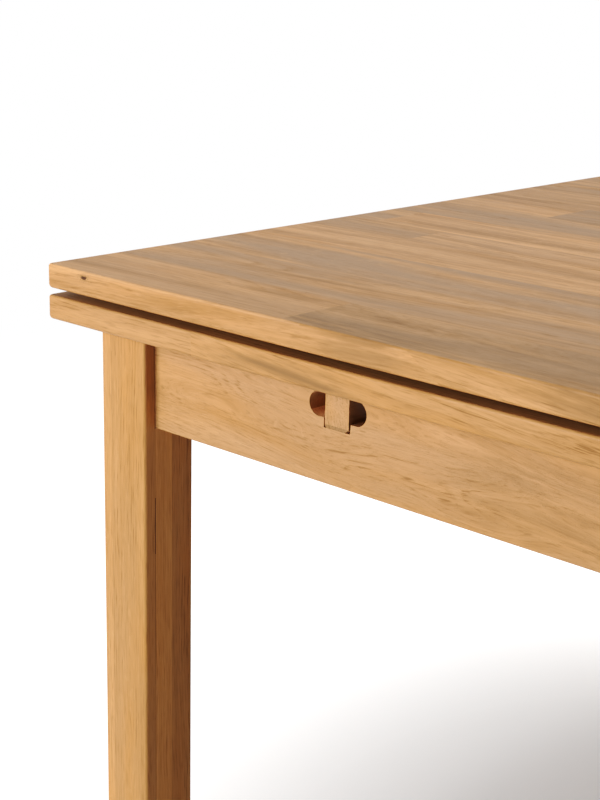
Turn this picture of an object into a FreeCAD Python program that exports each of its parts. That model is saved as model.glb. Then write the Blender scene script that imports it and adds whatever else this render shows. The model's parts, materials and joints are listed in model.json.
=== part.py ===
import FreeCAD, Part
import math
import os

# An oak draw leaf table. Two leaves lie under a loose top and are drawn out along Y on tapered
# runners, which lift each leaf by the top's thickness and the shadow gap on the way out.
# The origin is on the floor under the middle of the table. The front end, towards -Y, is the one with
# the leaf nearest the viewer. The back end is the front end turned half a turn about Z.

# Boards
top_width = 900.0               # across the table, along X
top_length = 1200.0             # along Y, the way the leaves draw
table_height = 750.0
top_thickness = 22.0
leaf_thickness = 22.0
shadow_gap = 6.0                # open gap between the top and the leaves
bearer_width = 400.0            # fixed board between the two stored leaves, along Y
leaf_joint_gap = 1.0            # between a leaf and the board it butts against
board_upper_radius = 2.5        # worn round-over along the upper arrises of the top and leaves
board_lower_radius = 4.0        # fuller round-over along their lower arrises
board_corner_radius = 4.5       # their four corners in plan

# Frame
leg_size = 58.0
leg_end_overhang = 32.0         # from an end of the top to the outside of a leg
leg_side_overhang = 35.0        # from a side of the top to the outside of a leg
leg_edge_radius = 3.0
leg_flat_inset = 10.0           # of the flat on the inside corner, square to the hanger bolts
leg_flat_margin = 4.0           # how far the flat runs on below the corner block
leg_foot_chamfer = 2.0
apron_setback = 12.0            # from the outside of a leg to the face of an apron
apron_thickness = 24.0
apron_height = 90.0
apron_edge_radius = 1.5
leaf_rest_gap = 0.4             # from the top of the frame to the underside of a leaf
glide_radius = 14.0
glide_height = 4.0
glide_edge_radius = 1.2
glide_pin_radius = 2.5
glide_pin_length = 18.0

# Runners, their notches and the finger slots
runner_width = 26.0
runner_end_depth = 43.0         # depth of a runner at the apron's face
tail_hold = 100.0               # tail left under the bearer when the leaf is fully drawn
runner_edge_chamfer = 1.5
front_left_runner_x = -142.5
runner_pair_spacing = 42.0      # between a front runner and the back runner beside it
notch_side_clearance = 1.0
notch_floor_clearance = 0.5
tail_clearance = 0.5            # between a runner's tail and the bearer that holds it down
tail_floor_clearance = 0.4      # between a runner's tail and its slot in the centre rail
finger_slot_length = 60.0
finger_slot_height = 21.0
finger_slot_drop = 25.0         # from the underside of the leaf to the middle of the slot
stop_peg_radius = 5.0
stop_peg_reach = 30.0           # how far a peg stands out of the runner's side
stop_peg_rise = 24.0            # from the belly of the runner to the peg's axis
stop_peg_chamfer = 1.0
stop_peg_contact_gap = 0.5      # left between a peg and the apron when the leaf is fully drawn

# Centre of the frame
bearer_edge_radius = 1.0
packing_width = 40.0
packing_thickness = 4.0
packing_inset = 10.0            # from the edge of the bearer to a packing strip
packing_end_inset = 60.0        # from the side of the table to the end of a packing strip
felt_margin = 5.0               # packing that shows on each side of the felt
rail_thickness = 22.0
rail_floor_height = 15.0        # wood left under the runner slots
rail_housing_depth = 6.0        # how far the rail's ends enter the side aprons
dowel_radius = 6.0
dowel_chamfer = 1.0
dowel_hole_clearance = 1.0      # slack all round, so that the top can rock
dowel_seat_gap = 0.3
dowel_x = 300.0
dowel_depth_in_top = 14.0
dowel_depth_in_bearer = 17.0

# Corner blocks and their hardware
block_thickness = 25.0
block_height = 66.0
block_top_drop = 12.0           # from the top of the frame to the top of a block
block_leg_gap = 8.0             # between the flat of a leg and a block
block_screw_inset = 15.0        # from the top and bottom of a block to its screws
bolt_radius = 4.0
bolt_depth_in_leg = 34.0
bolt_inset = 18.0               # from the top and bottom of a block to the bolts
bolt_tail = 12.0                # bolt left beyond the nut
bolt_hole_clearance = 0.5
washer_radius = 9.0
washer_thickness = 1.6
nut_width = 13.0                # across flats
nut_thickness = 6.5
nut_seat_gap = 0.05             # nuts and washers clear the bolt all round

# Wood screws
screw_radius = 2.25
screw_head_radius = 4.5
screw_head_height = 2.8
screw_tip_length = 4.5
screw_hole_clearance = 0.15
screw_sink = 1.0                # how far a head lies below the surface
runner_screw_grip = 24.0        # wood of the runner under a screw's head
runner_screw_bite = 13.0        # depth of the screw in the leaf
runner_screw_end_inset = 45.0   # from the ends of the glued length to the outer screws
runner_screw_count = 3
block_screw_bite = 14.0
bearer_screw_bite = 30.0
bearer_side_screw_y = 120.0
bearer_rail_screw_x = 220.0

overlap = 5.0                   # extra length of a cutting tool past the faces that it cuts
tolerance = 1e-6                # for finding edges by their place
nearly_along = 0.999            # cosine above which a direction counts as parallel

# Levels and lines worked out from the sizes above
half_width = top_width / 2
half_length = top_length / 2
top_underside = table_height - top_thickness
leaf_top = top_underside - shadow_gap
leaf_underside = leaf_top - leaf_thickness
frame_top = leaf_underside - leaf_rest_gap
bearer_top = frame_top + leaf_thickness
apron_bottom = frame_top - apron_height

half_bearer = bearer_width / 2
leaf_length = half_length - half_bearer - leaf_joint_gap
leaf_draw = leaf_length + leaf_joint_gap
leaf_rise = table_height - leaf_top
runner_slope = leaf_rise / leaf_draw

# Distances inwards from the front edge of the table
apron_face_in = leg_end_overhang + apron_setback
apron_back_in = apron_face_in + apron_thickness
leg_back_in = leg_end_overhang + leg_size
bearer_edge_in = half_length - half_bearer
runner_reach = bearer_edge_in + leaf_draw + tail_hold
belly_in = apron_back_in + leaf_draw
belly_z = leaf_underside - runner_end_depth - runner_slope * (belly_in - apron_face_in)
tail_start_in = bearer_edge_in - (leaf_underside - frame_top + tail_clearance) / runner_slope

# Distances inwards from the left side of the table
side_apron_face_in = leg_side_overhang + apron_setback
side_apron_back_in = side_apron_face_in + apron_thickness
side_leg_back_in = leg_side_overhang + leg_size

front_runner_xs = (front_left_runner_x, -front_left_runner_x + runner_pair_spacing)
back_runner_xs = tuple(-x for x in front_runner_xs)
rail_bottom = belly_z - tail_floor_clearance - rail_floor_height
runner_slot_half = runner_width / 2 + notch_side_clearance

corners = {"front_left": (-1, -1), "front_right": (1, -1), "back_left": (-1, 1), "back_right": (1, 1)}
half_turns = {"front": 0, "back": 180}


def box(x0, x1, y0, y1, z0, z1):
    return Part.makeBox(x1 - x0, y1 - y0, z1 - z0, FreeCAD.Vector(x0, y0, z0))


def rod(radius, start, end):
    axis = end.sub(start)
    return Part.makeCylinder(radius, axis.Length, start, axis)


def side_profile(points, x0, x1):
    # A prism along X from points given as (distance in from the front edge, height).
    corners_3d = [FreeCAD.Vector(x0, -half_length + inward, z) for inward, z in points]
    face = Part.Face(Part.makePolygon(corners_3d + corners_3d[:1]))
    return face.extrude(FreeCAD.Vector(x1 - x0, 0, 0))


def edges_where(shape, test):
    return [edge for edge in shape.Edges if test(edge)]


def is_upright(edge):
    return len(edge.Vertexes) == 2 and abs(edge.tangentAt(edge.FirstParameter).z) > nearly_along


def board(x0, x1, y0, y1, z0, z1):
    # The top or a leaf, rounded at its corners and along its arrises.
    shape = box(x0, x1, y0, y1, z0, z1)
    shape = shape.makeFillet(board_corner_radius, edges_where(shape, is_upright))
    lower_rim = edges_where(shape, lambda edge: edge.BoundBox.ZMax < z0 + tolerance)
    shape = shape.makeFillet(board_lower_radius, lower_rim)
    upper_rim = edges_where(shape, lambda edge: edge.BoundBox.ZMin > z1 - tolerance)
    return shape.makeFillet(board_upper_radius, upper_rim)


def turned(shape, degrees):
    copy = shape.copy()
    copy.rotate(FreeCAD.Vector(0, 0, 0), FreeCAD.Vector(0, 0, 1), degrees)
    return copy


def in_corner(shape, sign_x, sign_y):
    # The front left corner's shape, mirrored into the corner that the signs name.
    if sign_x > 0:
        shape = shape.mirror(FreeCAD.Vector(0, 0, 0), FreeCAD.Vector(1, 0, 0))
    if sign_y > 0:
        shape = shape.mirror(FreeCAD.Vector(0, 0, 0), FreeCAD.Vector(0, 1, 0))
    return shape


def wood_screw(head, direction, length):
    # A countersunk screw whose head lies at the point and whose tip points along the direction.
    axis = FreeCAD.Vector(direction).normalize()
    neck = head + axis * screw_head_height
    tip_start = head + axis * (length - screw_tip_length)
    shape = Part.makeCone(screw_head_radius, screw_radius, screw_head_height, head, axis)
    shape = shape.fuse(rod(screw_radius, neck, tip_start))
    return shape.fuse(Part.makeCone(screw_radius, 0, screw_tip_length, tip_start, axis)).removeSplitter()


def screw_hole(head, direction, length, access):
    # The room that a screw needs: a bore, a countersink and a way in for its head.
    axis = FreeCAD.Vector(direction).normalize()
    bore = rod(screw_radius + screw_hole_clearance, head, head + axis * (length + screw_hole_clearance))
    sink = Part.makeCone(
        screw_head_radius + screw_hole_clearance, screw_radius + screw_hole_clearance,
        screw_head_height + screw_hole_clearance, head, axis)
    way_in = rod(screw_head_radius + screw_hole_clearance, head - axis * access, head)
    return bore.fuse([sink, way_in])


# Screws of one front runner, from inside its underside up into the leaf
def runner_screw_places(runner_x):
    first = apron_face_in + runner_screw_end_inset
    last = tail_start_in - runner_screw_end_inset
    step = (last - first) / (runner_screw_count - 1)
    head_z = leaf_underside - runner_screw_grip
    inwards = [first + i * step for i in range(runner_screw_count)]
    return [FreeCAD.Vector(runner_x, -half_length + inward, head_z) for inward in inwards]


runner_screw_length = runner_screw_grip + runner_screw_bite
up = FreeCAD.Vector(0, 0, 1)
down = FreeCAD.Vector(0, 0, -1)
runner_screw_access = leaf_underside - runner_screw_grip - belly_z + overlap


# The stop peg stands out to the right of a front runner, away from the back runner beside it. When the
# leaf is fully drawn it meets the inside of the end apron beyond the finger slot.
def stop_peg_ends(runner_x):
    inward = apron_back_in + leaf_draw + stop_peg_radius + stop_peg_contact_gap
    y = -half_length + inward
    z = belly_z + stop_peg_rise
    left = FreeCAD.Vector(runner_x - runner_width / 2, y, z)
    right = FreeCAD.Vector(runner_x + runner_width / 2 + stop_peg_reach, y, z)
    return left, right


def stop_peg(runner_x):
    left, right = stop_peg_ends(runner_x)
    peg = rod(stop_peg_radius, left, right)
    far_rim = edges_where(peg, lambda edge: abs(edge.CenterOfMass.x - right.x) < tolerance)
    return peg.makeChamfer(stop_peg_chamfer, far_rim)


# A runner is deepest where the last of it passes the apron, and its tail slopes down under the bearer.
def runner(runner_x):
    tail_end_z = frame_top - tail_clearance - runner_slope * (runner_reach - bearer_edge_in)
    end_bottom = leaf_underside - runner_end_depth
    points = [
        (apron_face_in, leaf_underside),
        (tail_start_in, leaf_underside),
        (runner_reach, tail_end_z),
        (runner_reach, belly_z),
        (belly_in, belly_z),
        (apron_face_in, end_bottom),
    ]
    shape = side_profile(points, runner_x - runner_width / 2, runner_x + runner_width / 2)
    lower = edges_where(shape, lambda edge: edge.BoundBox.ZMax < end_bottom + tolerance)
    shape = shape.makeChamfer(runner_edge_chamfer, lower)
    for place in runner_screw_places(runner_x):
        shape = shape.cut(screw_hole(place, up, runner_screw_length, runner_screw_access))
    left, right = stop_peg_ends(runner_x)
    return shape.cut(rod(stop_peg_radius, left, right))


def leaf():
    shape = board(
        -half_width, half_width, -half_length, -half_length + leaf_length, leaf_underside, leaf_top)
    for runner_x in front_runner_xs:
        for place in runner_screw_places(runner_x):
            shape = shape.cut(screw_hole(place, up, runner_screw_length, overlap))
    return shape


def table_top():
    shape = board(-half_width, half_width, -half_length, half_length, top_underside, table_height)
    for x in (-dowel_x, dowel_x):
        bottom = FreeCAD.Vector(x, 0, top_underside - overlap)
        head = FreeCAD.Vector(x, 0, top_underside + dowel_depth_in_top)
        shape = shape.cut(rod(dowel_radius + dowel_hole_clearance, bottom, head))
    return shape


def locating_dowels():
    dowels = []
    for x in (-dowel_x, dowel_x):
        foot = FreeCAD.Vector(x, 0, bearer_top - dowel_depth_in_bearer + dowel_seat_gap)
        head = FreeCAD.Vector(x, 0, top_underside + dowel_depth_in_top - dowel_seat_gap)
        shape = rod(dowel_radius, foot, head)
        rims = edges_where(shape, lambda edge: len(edge.Vertexes) == 1)
        dowels.append(shape.makeChamfer(dowel_chamfer, rims))
    return dowels


# Screws through the bearer: into the top edges of the side aprons, and into the centre rail
def bearer_screw_heads():
    side_x = half_width - side_apron_face_in - apron_thickness / 2
    z = bearer_top - screw_sink
    places = [(x, y) for x in (-side_x, side_x) for y in (-bearer_side_screw_y, bearer_side_screw_y)]
    places += [(x, 0) for x in (-bearer_rail_screw_x, 0, bearer_rail_screw_x)]
    return [FreeCAD.Vector(x, y, z) for x, y in places]


bearer_screw_length = leaf_thickness - screw_sink + bearer_screw_bite


def bearer_screw_holes():
    return [screw_hole(head, down, bearer_screw_length, overlap) for head in bearer_screw_heads()]


def centre_bearer():
    shape = box(-half_width, half_width, -half_bearer, half_bearer, frame_top, bearer_top)
    shape = shape.makeFillet(bearer_edge_radius, shape.Edges).cut(bearer_screw_holes())
    for x in (-dowel_x, dowel_x):
        foot = FreeCAD.Vector(x, 0, bearer_top - dowel_depth_in_bearer)
        mouth = FreeCAD.Vector(x, 0, bearer_top + overlap)
        shape = shape.cut(rod(dowel_radius + dowel_hole_clearance, foot, mouth))
    return shape


def packing_strip():
    outer = -half_bearer + packing_inset
    end = half_width - packing_end_inset
    return box(-end, end, outer, outer + packing_width, bearer_top, bearer_top + packing_thickness)


def felt_strip():
    outer = -half_bearer + packing_inset + felt_margin
    inner = -half_bearer + packing_inset + packing_width - felt_margin
    end = half_width - packing_end_inset - felt_margin
    return box(-end, end, outer, inner, bearer_top + packing_thickness, top_underside)


def centre_rail():
    half_rail = half_width - side_apron_back_in + rail_housing_depth
    shape = box(-half_rail, half_rail, -rail_thickness / 2, rail_thickness / 2, rail_bottom, frame_top)
    for runner_x in front_runner_xs + back_runner_xs:
        shape = shape.cut(box(
            runner_x - runner_slot_half, runner_x + runner_slot_half,
            -rail_thickness / 2 - overlap, rail_thickness / 2 + overlap,
            belly_z - tail_floor_clearance, frame_top + overlap))
    return shape.cut(bearer_screw_holes())


# The front apron's notch has a floor bevelled to the runner's slope, and a round-ended slot across it
# leaves a finger hole on each side of the runner.
def runner_opening(runner_x):
    near = apron_face_in - overlap
    far = apron_back_in + overlap
    floor_at_face = leaf_underside - runner_end_depth - notch_floor_clearance
    notch = side_profile(
        [
            (near, floor_at_face + runner_slope * overlap),
            (far, floor_at_face - runner_slope * (far - apron_face_in)),
            (far, frame_top + overlap),
            (near, frame_top + overlap),
        ],
        runner_x - runner_slot_half, runner_x + runner_slot_half)
    radius = finger_slot_height / 2
    reach = finger_slot_length / 2 - radius
    z = leaf_underside - finger_slot_drop
    y0 = -half_length + near
    y1 = -half_length + far
    slot = [box(runner_x - reach, runner_x + reach, y0, y1, z - radius, z + radius)]
    for x in (runner_x - reach, runner_x + reach):
        slot.append(rod(radius, FreeCAD.Vector(x, y0, z), FreeCAD.Vector(x, y1, z)))
    return notch.fuse(slot)


def softened_apron(shape, axis):
    # Rounds the two long lower arrises.
    def is_lower(edge):
        flat = edge.BoundBox.ZLength < tolerance and abs(edge.BoundBox.ZMin - apron_bottom) < tolerance
        return flat and abs(edge.tangentAt(edge.FirstParameter).dot(axis)) > nearly_along
    return shape.makeFillet(apron_edge_radius, edges_where(shape, is_lower))


def end_apron():
    half_span = half_width - side_leg_back_in
    y0 = -half_length + apron_face_in
    shape = box(-half_span, half_span, y0, y0 + apron_thickness, apron_bottom, frame_top)
    shape = softened_apron(shape, FreeCAD.Vector(1, 0, 0))
    for runner_x in front_runner_xs:
        shape = shape.cut(runner_opening(runner_x))
    return shape.cut(all_corner_screw_holes())


def side_apron():
    half_span = half_length - leg_back_in
    x0 = -half_width + side_apron_face_in
    shape = box(x0, x0 + apron_thickness, -half_span, half_span, apron_bottom, frame_top)
    shape = softened_apron(shape, FreeCAD.Vector(0, 1, 0))
    housing = box(
        x0 + apron_thickness - rail_housing_depth, x0 + apron_thickness + overlap,
        -rail_thickness / 2, rail_thickness / 2, rail_bottom, frame_top + overlap)
    return shape.cut(housing).cut(bearer_screw_holes() + all_corner_screw_holes())


# The front left corner. The leg's inside corner has a flat across its head, and the block spans the
# aprons behind that flat. Distances along the diagonal are measured inwards from the flat.
inward_axis = FreeCAD.Vector(1, 1, 0).normalize()
leg_inside = FreeCAD.Vector(-half_width + side_leg_back_in, -half_length + leg_back_in, 0)
flat_middle = leg_inside - FreeCAD.Vector(leg_flat_inset, leg_flat_inset, 0) * 0.5
block_top = frame_top - block_top_drop
block_bottom = block_top - block_height
bolt_levels = (block_bottom + bolt_inset, block_top - bolt_inset)
block_screw_levels = (block_bottom + block_screw_inset, block_top - block_screw_inset)


def on_diagonal(distance, z):
    point = flat_middle + inward_axis * distance
    return FreeCAD.Vector(point.x, point.y, z)


# The wood taken off a leg's inside corner for the flat, which stops just below the block.
def leg_flat_cut():
    z0 = block_bottom - leg_flat_margin
    plan = [
        leg_inside + FreeCAD.Vector(-leg_flat_inset - overlap, overlap, z0),
        leg_inside + FreeCAD.Vector(overlap, -leg_flat_inset - overlap, z0),
        leg_inside + FreeCAD.Vector(overlap, overlap, z0),
    ]
    face = Part.Face(Part.makePolygon(plan + plan[:1]))
    return face.extrude(FreeCAD.Vector(0, 0, frame_top + overlap - z0))


def leg():
    x0 = -half_width + leg_side_overhang
    y0 = -half_length + leg_end_overhang
    shape = box(x0, x0 + leg_size, y0, y0 + leg_size, glide_height, frame_top)
    shape = shape.makeFillet(leg_edge_radius, edges_where(shape, is_upright))
    foot_rim = edges_where(shape, lambda edge: edge.BoundBox.ZMax < glide_height + tolerance)
    shape = shape.makeChamfer(leg_foot_chamfer, foot_rim).cut(leg_flat_cut())
    for z in bolt_levels:
        bore = rod(bolt_radius + nut_seat_gap, on_diagonal(-bolt_depth_in_leg, z), on_diagonal(overlap, z))
        shape = shape.cut(bore)
    foot = leg_middle(glide_height - overlap)
    head = leg_middle(glide_height + glide_pin_length)
    return shape.cut(rod(glide_pin_radius + nut_seat_gap, foot, head))


def leg_middle(z):
    half_leg = leg_size / 2
    return FreeCAD.Vector(
        -half_width + leg_side_overhang + half_leg, -half_length + leg_end_overhang + half_leg, z)


def leg_glide():
    disc = rod(glide_radius, leg_middle(0), leg_middle(glide_height))
    rim = edges_where(disc, lambda edge: len(edge.Vertexes) == 1 and edge.BoundBox.ZMax < tolerance)
    disc = disc.makeFillet(glide_edge_radius, rim)
    pin = rod(glide_pin_radius, leg_middle(glide_height), leg_middle(glide_height + glide_pin_length))
    return disc.fuse(pin)


# The block's plan: its slanted faces cross the inner faces of the two aprons.
def corner_block():
    wall_x = -half_width + side_apron_back_in
    wall_y = -half_length + apron_back_in
    diagonal_sum = flat_middle.x + flat_middle.y
    near_sum = diagonal_sum + math.sqrt(2) * block_leg_gap
    far_sum = near_sum + math.sqrt(2) * block_thickness
    plan = [
        FreeCAD.Vector(near_sum - wall_y, wall_y, block_bottom),
        FreeCAD.Vector(far_sum - wall_y, wall_y, block_bottom),
        FreeCAD.Vector(wall_x, far_sum - wall_x, block_bottom),
        FreeCAD.Vector(wall_x, near_sum - wall_x, block_bottom),
    ]
    shape = Part.Face(Part.makePolygon(plan + plan[:1])).extrude(FreeCAD.Vector(0, 0, block_height))
    far = block_leg_gap + block_thickness + overlap
    for z in bolt_levels:
        shape = shape.cut(rod(bolt_radius + bolt_hole_clearance, on_diagonal(0, z), on_diagonal(far, z)))
    return shape.cut(corner_screw_holes())


# Each end of a block has two screws, driven square to the apron through the slanted inner face. Their
# heads lie below the lower side of that face.
def block_screw_seats():
    wall_x = -half_width + side_apron_back_in
    wall_y = -half_length + apron_back_in
    far_sum = flat_middle.x + flat_middle.y + math.sqrt(2) * (block_leg_gap + block_thickness)
    along = math.sqrt(2) * block_thickness / 2
    head_depth = along - screw_head_radius - screw_sink
    seats = []
    for z in block_screw_levels:
        to_front = FreeCAD.Vector(far_sum - wall_y - along, wall_y + head_depth, z)
        to_left = FreeCAD.Vector(wall_x + head_depth, far_sum - wall_x - along, z)
        seats.append((to_front, FreeCAD.Vector(0, -1, 0)))
        seats.append((to_left, FreeCAD.Vector(-1, 0, 0)))
    return seats, head_depth + block_screw_bite


def corner_screw_holes():
    seats, length = block_screw_seats()
    return [screw_hole(head, axis, length, block_thickness) for head, axis in seats]


def all_corner_screw_holes():
    return [in_corner(hole, *signs) for signs in corners.values() for hole in corner_screw_holes()]


def corner_screws():
    seats, length = block_screw_seats()
    return [wood_screw(head, axis, length) for head, axis in seats]


# A hanger bolt runs from inside the leg, through the block, to the washer and nut behind it.
washer_start = block_leg_gap + block_thickness
nut_start = washer_start + washer_thickness
bolt_end = nut_start + nut_thickness + bolt_tail


def hanger_bolts():
    return [rod(bolt_radius, on_diagonal(-bolt_depth_in_leg + nut_seat_gap, z), on_diagonal(bolt_end, z))
            for z in bolt_levels]


def hanger_washers():
    rings = []
    for z in bolt_levels:
        start = on_diagonal(washer_start, z)
        end = on_diagonal(nut_start, z)
        rings.append(rod(washer_radius, start, end).cut(rod(bolt_radius + nut_seat_gap, start, end)))
    return rings


def hanger_nuts():
    nuts = []
    circumradius = nut_width / math.sqrt(3)
    across = FreeCAD.Vector(-inward_axis.y, inward_axis.x, 0)
    for z in bolt_levels:
        start = on_diagonal(nut_start, z)
        points = []
        for i in range(6):
            angle = math.radians(60 * i)
            corner = across * math.cos(angle) + up * math.sin(angle)
            points.append(start + corner * circumradius)
        prism = Part.Face(Part.makePolygon(points + points[:1])).extrude(inward_axis * nut_thickness)
        nuts.append(prism.cut(rod(bolt_radius + nut_seat_gap, start, on_diagonal(bolt_end, z))))
    return nuts


def at_all_corners(make):
    return [in_corner(shape, *signs) for signs in corners.values() for shape in make()]


# Nodes
nodes = {
    "table_top": table_top(),
    "locating_dowels": Part.makeCompound(locating_dowels()),
    "centre_bearer": centre_bearer(),
    "centre_rail": centre_rail(),
    "bearer_screws": Part.makeCompound(
        [wood_screw(head, down, bearer_screw_length) for head in bearer_screw_heads()]),
    "leg_glides": Part.makeCompound(at_all_corners(lambda: [leg_glide()])),
    "corner_block_screws": Part.makeCompound(at_all_corners(corner_screws)),
    "hanger_bolts": Part.makeCompound(at_all_corners(hanger_bolts)),
    "hanger_washers": Part.makeCompound(at_all_corners(hanger_washers)),
    "hanger_nuts": Part.makeCompound(at_all_corners(hanger_nuts)),
}

corner_leg = leg()
block = corner_block()
for corner, signs in corners.items():
    nodes["leg_" + corner] = in_corner(corner_leg, *signs)
    nodes["corner_block_" + corner] = in_corner(block, *signs)

left_apron = side_apron()
nodes["side_apron_left"] = left_apron
nodes["side_apron_right"] = turned(left_apron, 180)

screw_groups = [wood_screw(place, up, runner_screw_length)
                for runner_x in front_runner_xs for place in runner_screw_places(runner_x)]
front_end = {
    "end_apron_": end_apron(),
    "leaf_": leaf(),
    "packing_strip_": packing_strip(),
    "felt_strip_": felt_strip(),
    "runner_screws_": Part.makeCompound(screw_groups),
    "stop_pegs_": Part.makeCompound([stop_peg(runner_x) for runner_x in front_runner_xs]),
}
front_runners = [runner(runner_x) for runner_x in front_runner_xs]
for end, degrees in half_turns.items():
    for name, shape in front_end.items():
        nodes[name + end] = turned(shape, degrees)
    sides = ("left", "right") if end == "front" else ("right", "left")
    for side, shape in zip(sides, front_runners):
        nodes["runner_" + end + "_" + side] = turned(shape, degrees)

os.makedirs("parts", exist_ok=True)
for name, shape in nodes.items():
    shape.exportStep("parts/" + name + ".step")
    print(name, shape.isValid(), len(shape.Solids), round(shape.Volume))
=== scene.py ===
import bmesh
import bpy
import json
import math
import random
from mathutils import Matrix, Vector


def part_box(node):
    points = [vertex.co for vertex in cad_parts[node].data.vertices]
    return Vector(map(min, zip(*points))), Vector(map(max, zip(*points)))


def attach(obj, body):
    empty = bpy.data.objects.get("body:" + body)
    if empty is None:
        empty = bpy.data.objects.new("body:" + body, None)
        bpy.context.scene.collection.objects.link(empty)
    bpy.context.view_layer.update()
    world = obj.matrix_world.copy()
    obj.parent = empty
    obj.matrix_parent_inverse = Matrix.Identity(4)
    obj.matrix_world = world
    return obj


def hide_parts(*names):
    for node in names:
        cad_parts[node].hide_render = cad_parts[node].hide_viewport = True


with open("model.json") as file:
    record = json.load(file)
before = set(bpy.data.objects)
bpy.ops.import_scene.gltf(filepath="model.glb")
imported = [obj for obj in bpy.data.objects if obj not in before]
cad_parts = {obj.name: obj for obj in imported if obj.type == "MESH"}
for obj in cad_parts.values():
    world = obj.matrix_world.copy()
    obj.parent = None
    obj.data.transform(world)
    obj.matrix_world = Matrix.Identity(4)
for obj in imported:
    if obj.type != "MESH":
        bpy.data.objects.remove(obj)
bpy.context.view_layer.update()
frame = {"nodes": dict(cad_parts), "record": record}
scene = bpy.context.scene
mm = 0.001
dice = random.Random(41)
print("frame loaded,", len(frame["nodes"]), "nodes")


# Node helpers: a value that is a socket gets linked, any other is set on the node
def addNode(tree, kind, inputs=None, **settings):
    made = tree.nodes.new(kind)
    for key, value in settings.items():
        setattr(made, key, value)
    for key, value in (inputs or {}).items():
        if isinstance(value, bpy.types.NodeSocket):
            tree.links.new(value, made.inputs[key])
        else:
            made.inputs[key].default_value = value
    return made


def calc(tree, operation, *values):
    return addNode(tree, "ShaderNodeMath", dict(enumerate(values)), operation=operation).outputs[0]


def vectorCalc(tree, operation, *values):
    made = addNode(tree, "ShaderNodeVectorMath", dict(enumerate(values)), operation=operation)
    return made.outputs["Value" if operation in ("LENGTH", "DOT_PRODUCT") else "Vector"]


def attributeOf(tree, name):
    return addNode(tree, "ShaderNodeAttribute", attribute_name=name).outputs["Vector"]


def splitVector(tree, vector):
    return addNode(tree, "ShaderNodeSeparateXYZ", {0: vector}).outputs


def joinVector(tree, **parts):
    return addNode(tree, "ShaderNodeCombineXYZ", parts).outputs[0]


def noiseOn(tree, place, stretch, detail=2.0, roughness=0.5, output="Fac"):
    stretched = vectorCalc(tree, "MULTIPLY", place, stretch)
    made = addNode(tree, "ShaderNodeTexNoise",
                   {"Vector": stretched, "Scale": 1.0, "Detail": detail, "Roughness": roughness})
    return made.outputs[output]


def remap(tree, value, fromLow, fromHigh, toLow, toHigh, kind="SMOOTHSTEP"):
    sockets = {"Value": value, "From Min": fromLow, "From Max": fromHigh, "To Min": toLow, "To Max": toHigh}
    return addNode(tree, "ShaderNodeMapRange", sockets, interpolation_type=kind).outputs[0]


# A mask of a noise that shows from the first limit on and is full at the second
def maskOf(tree, noise, limits):
    return remap(tree, noise, *limits, 0.0, 1.0)


def mixColour(tree, factor, first, second):
    made = addNode(tree, "ShaderNodeMix", data_type="RGBA")
    for socket, value in zip([s for s in made.inputs if s.enabled], (factor, first, second)):
        if isinstance(value, bpy.types.NodeSocket):
            tree.links.new(value, socket)
        elif isinstance(value, tuple):
            socket.default_value = (*value, 1.0)
        else:
            socket.default_value = value
    return [s for s in made.outputs if s.enabled][0]


def emptyMaterial(name):
    material = bpy.data.materials.new(name)
    material.use_nodes = True
    material.node_tree.nodes.clear()
    return material, material.node_tree


def closeMaterial(tree, sockets, bumpHeight, bumpDistance, bumpStrength=1.0):
    sockets["Normal"] = addNode(tree, "ShaderNodeBump", {
        "Height": bumpHeight, "Distance": bumpDistance, "Strength": bumpStrength}).outputs[0]
    shader = addNode(tree, "ShaderNodeBsdfPrincipled", sockets)
    addNode(tree, "ShaderNodeOutputMaterial", {"Surface": shader.outputs[0]})


# Oak. Each face carries its place in its own timber: along the grain, then across it from the pith
oakSettings = {
    "pale": (0.560, 0.318, 0.140), "brown": (0.400, 0.206, 0.078), "grey": (0.385, 0.245, 0.138),
    "amber": (0.520, 0.255, 0.084), "ring": (0.300, 0.140, 0.047), "pore": (0.200, 0.090, 0.030),
    "ray": (0.600, 0.370, 0.180), "knot": (0.085, 0.042, 0.020), "knotAndShadeCloud": (0.285, 0.158, 0.072),
    "tint": (1.0, 1.0, 1.0), "bend": 0.024, "waver": 0.0034, "swayRoughness": 0.55,
    "ringGap": 0.0030, "ringWander": 5.0, "ringChange": 55.0, "ringLeast": 0.2, "ringBreak": 0.65,
    "brownShare": 0.42, "broadShare": 0.60, "middleShare": 0.56, "fineShare": 0.42, "amberShare": 0.40,
    "ringShare": 0.50, "tickShare": 0.44, "poreShare": 0.22, "rayShare": 0.20,
    "ticksOnRings": 0.6, "poreFrom": (0.64, 0.52), "cloudShare": 0.68, "cloudStreaks": 0.55,
    "roughness": (0.42, 0.58), "fineRoughness": 0.25, "gloss": 0.2,
    "relief": {"fine": 0.15, "ticks": -0.3, "knot": 6.0}, "poreDepth": 0.00008, "bumpStrength": 0.8,
}
# Noises: how many to the metre along the grain and across it, then their detail
grainNoises = {
    "bend": (2.4, 13.0, 2.0), "waver": (22.0, 75.0, 3.0), "ringFade": (7.0, 45.0, 2.0),
    "broad": (1.6, 42.0, 3.0), "middle": (5.0, 170.0, 2.0), "fine": (24.0, 620.0, 2.0),
    "ticks": (46.0, 720.0, 1.0), "pores": (95.0, 2300.0, 1.0), "grey": (3.0, 22.0, 2.0),
    "amber": (6.0, 34.0, 3.0),
}
# Where a noise begins to show, and where it is full
grainLimits = {
    "ticks": (0.48, 0.72), "ringFade": (0.35, 0.65), "rays": (0.58, 0.74), "grey": (0.35, 0.65),
    "amber": (0.45, 0.72), "pores": (0.0, 0.08), "ringStart": (0.0, 0.12), "ringEnd": (0.14, 0.66),
    "streaks": (0.25, 0.75),
}
# Rays: along the grain, along the radius and round the pith
rayStretch = (70.0, 50.0, 170.0)
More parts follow.
